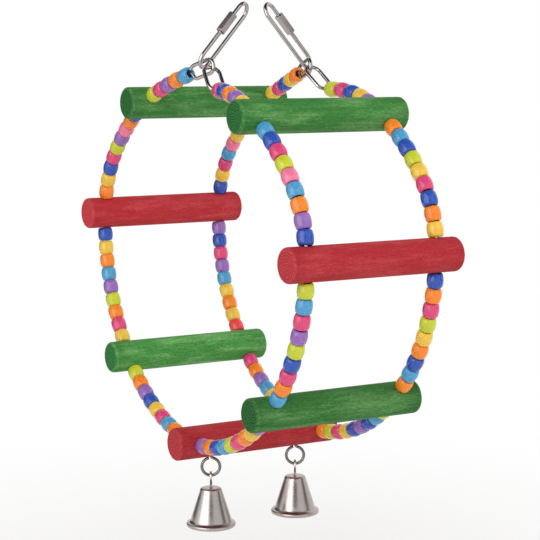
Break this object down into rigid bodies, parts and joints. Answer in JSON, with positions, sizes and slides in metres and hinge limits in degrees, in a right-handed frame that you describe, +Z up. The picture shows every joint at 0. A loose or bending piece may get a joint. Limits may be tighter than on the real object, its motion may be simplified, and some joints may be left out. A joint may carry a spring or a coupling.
{
  "type": "bird ladder",
  "caption": "Hanging round ladder for cage birds: wooden perches between twin beaded wire hoops, hung by quick links at the top, with bells under the lowest perch.",
  "frame": {"origin": "the hang point, midway between the tops of the two quick links, at the underside of their upper bows where a hook carries them", "axes": "+Z up, +X along the perches to the right seen from the front, -Y to the front; the wire ends meet at the top, and the links hold the rear one"},
  "size_m": [0.1076, 0.2598, 0.3059],
  "materials": {
    "green_wood": "green stain, satin",
    "red_wood": "red stain, satin",
    "wire": "bright drawn wire",
    "zinc_steel": "bright zinc plate",
    "nickel": "satin nickel plate on steel",
    "purple_beads": "gloss",
    "orange_beads": "gloss",
    "light_blue_beads": "gloss",
    "yellow_beads": "gloss",
    "magenta_beads": "gloss",
    "lime_beads": "gloss",
    "blue_beads": "gloss",
    "pink_beads": "gloss"
  },
  "bodies": {
    "quick_links": {"left_quick_link": "zinc_steel", "right_quick_link": "zinc_steel"},
    "ladder": {"perch_rear_top": "green_wood", "perch_rear_middle": "red_wood", "perch_rear_lower": "green_wood", "perch_bottom": "red_wood", "perch_front_lower": "green_wood", "perch_front_middle": "red_wood", "perch_front_top": "green_wood", "left_wire_hoop": "wire", "left_beads_rear_top": "purple_beads", "left_beads_rear_upper": "orange_beads", "left_beads_rear_middle": "light_blue_beads", "left_beads_rear_lower": "yellow_beads", "left_beads_front_lower": "magenta_beads", "left_beads_front_middle": "lime_beads", "left_beads_front_upper": "blue_beads", "left_beads_front_top": "pink_beads", "right_wire_hoop": "wire", "right_beads_rear_top": "purple_beads", "right_beads_rear_upper": "orange_beads", "right_beads_rear_middle": "light_blue_beads", "right_beads_rear_lower": "yellow_beads", "right_beads_front_lower": "magenta_beads", "right_beads_front_middle": "lime_beads", "right_beads_front_upper": "blue_beads", "right_beads_front_top": "pink_beads", "left_screw_eye": "zinc_steel", "right_screw_eye": "zinc_steel"},
    "left_nut": {"left_link_nut": "zinc_steel"},
    "right_nut": {"right_link_nut": "zinc_steel"},
    "left_hanger": {"left_bell_hanger": "wire"},
    "right_hanger": {"right_bell_hanger": "wire"},
    "left_bell_cup": {"left_bell": "nickel"},
    "right_bell_cup": {"right_bell": "nickel"},
    "left_striker": {"left_clapper": "wire"},
    "right_striker": {"right_clapper": "wire"}
  },
  "joints": [
    {"name": "ladder_swing", "type": "hinge", "parent": "quick_links", "child": "ladder", "pos_m": [0, 0, -0.03322], "axis": [1, 0, 0], "range_deg": [-20, 20]},
    {"name": "left_nut_slide", "type": "slide", "parent": "quick_links", "child": "left_nut", "axis": [0.6559, 0, 0.7548], "range_m": [-0.0105, 0]},
    {"name": "right_nut_slide", "type": "slide", "parent": "quick_links", "child": "right_nut", "axis": [-0.6559, 0, 0.7548], "range_m": [-0.0105, 0]},
    {"name": "left_hanger_swing", "type": "hinge", "parent": "ladder", "child": "left_hanger", "pos_m": [-0.02892, 0.00373, -0.27247], "axis": [0.866, -0.5, 0], "range_deg": [-60, 60]},
    {"name": "right_hanger_swing", "type": "hinge", "parent": "ladder", "child": "right_hanger", "pos_m": [0.02908, 0.00373, -0.27247], "axis": [0.866, -0.5, 0], "range_deg": [-60, 60]},
    {"name": "left_bell_swivel", "type": "hinge", "parent": "left_hanger", "child": "left_bell_cup", "pos_m": [-0.02892, 0.00373, -0.27977], "axis": [0, 0, 1], "continuous": true},
    {"name": "right_bell_swivel", "type": "hinge", "parent": "right_hanger", "child": "right_bell_cup", "pos_m": [0.02908, 0.00373, -0.27977], "axis": [0, 0, 1], "continuous": true},
    {"name": "left_clapper_swing", "type": "hinge", "parent": "left_hanger", "child": "left_striker", "pos_m": [-0.02892, 0.00373, -0.28607], "axis": [0.5, 0.866, 0], "range_deg": [-30, 30]},
    {"name": "right_clapper_swing", "type": "hinge", "parent": "right_hanger", "child": "right_striker", "pos_m": [0.02908, 0.00373, -0.28607], "axis": [0.5, 0.866, 0], "range_deg": [-30, 30]}
  ]
}
